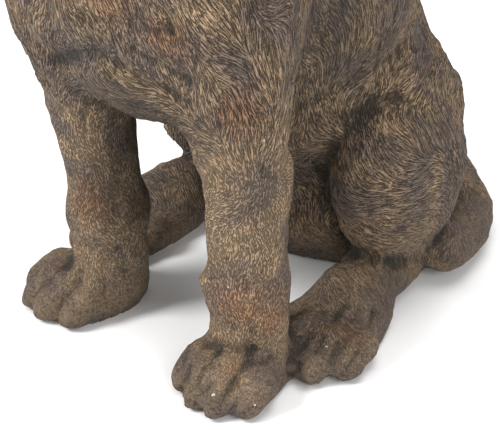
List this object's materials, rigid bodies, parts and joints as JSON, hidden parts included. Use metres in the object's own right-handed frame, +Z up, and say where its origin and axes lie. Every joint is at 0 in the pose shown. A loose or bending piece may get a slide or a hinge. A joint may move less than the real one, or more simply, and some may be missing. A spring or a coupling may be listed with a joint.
{
  "type": "dog garden statue",
  "caption": "Life-like seated dog garden statue cast in one piece of brown fibre stone, front legs upright, hind feet flat, tail curled forward beside the left haunch.",
  "frame": {"origin": "on the ground, below the middle of the figure's extent", "axes": "+Z up, the dog faces -Y, its left side is +X"},
  "size_m": [0.3496, 0.5006, 0.6599],
  "materials": {
    "cast_stone": "matt grey-brown with fine modelled fur, rust and dark green staining"
  },
  "bodies": {
    "root": {"seated_dog": "cast_stone"}
  },
  "joints": []
}
